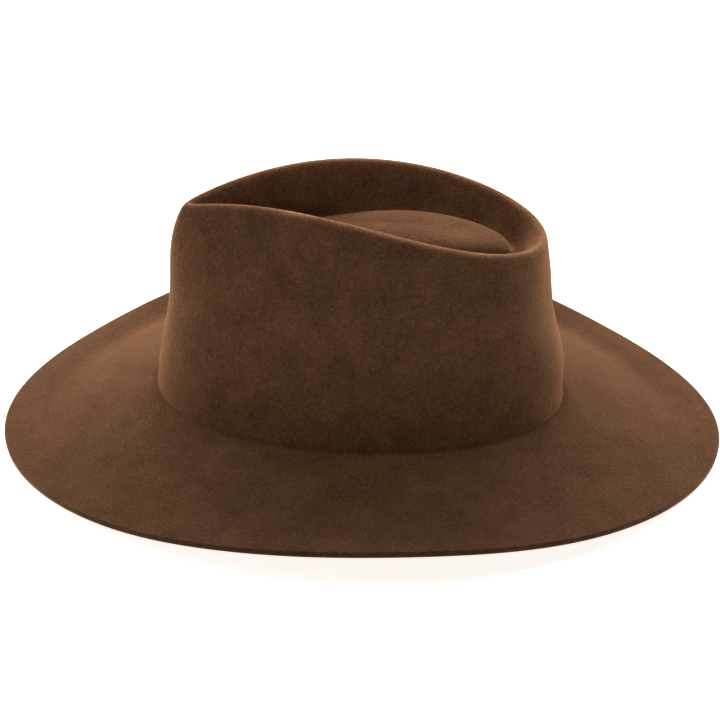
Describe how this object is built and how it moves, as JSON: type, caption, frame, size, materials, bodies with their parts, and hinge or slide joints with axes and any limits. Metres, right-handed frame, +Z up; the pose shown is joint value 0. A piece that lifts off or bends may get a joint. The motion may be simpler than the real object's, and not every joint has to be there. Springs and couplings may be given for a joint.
{
  "type": "wide-brim felt hat",
  "caption": "Wide-brim soft felt hat with a teardrop crown, raw-edged brim rolled up at the sides, leather sweatband and satin lining.",
  "frame": {"origin": "on the table under the middle of the hat's box: the brim's front and back edges rest at z = 0", "axes": "+Z up through the crown, -Y to the hat's front (the narrow end of the teardrop), +X to the wearer's left"},
  "size_m": [0.338, 0.38, 0.1401],
  "materials": {
    "felt": "wool felt, dark warm brown, short fibres, raw cut brim edge",
    "leather": "smooth tanned sweatband leather, satin",
    "tape": "woven cotton tape",
    "reed": "natural plastic reed, matt",
    "thread": "spun sewing thread",
    "ribbon": "narrow grosgrain ribbon",
    "satin": "lining satin, soft sheen",
    "piping": "cord covered in bias tape",
    "clear_film": "clear soft film, glossy",
    "label": "plain woven label with no text"
  },
  "bodies": {
    "root": {"felt_body": "felt", "sweatband": "leather", "reed_tape": "tape", "reed": "reed", "reed_sleeve": "reed", "sweatband_zigzag": "thread", "sweatband_sewing": "thread", "sweatband_joint_backing": "tape", "sweatband_joint_stitches": "thread", "rear_bow_loops": "ribbon", "rear_bow_knot": "ribbon", "lining_side_band": "satin", "lining_tip": "satin", "lining_piping": "piping", "tip_protector": "clear_film", "tip_protector_stitches": "thread", "size_label": "label", "size_label_stitches": "thread"}
  },
  "joints": []
}
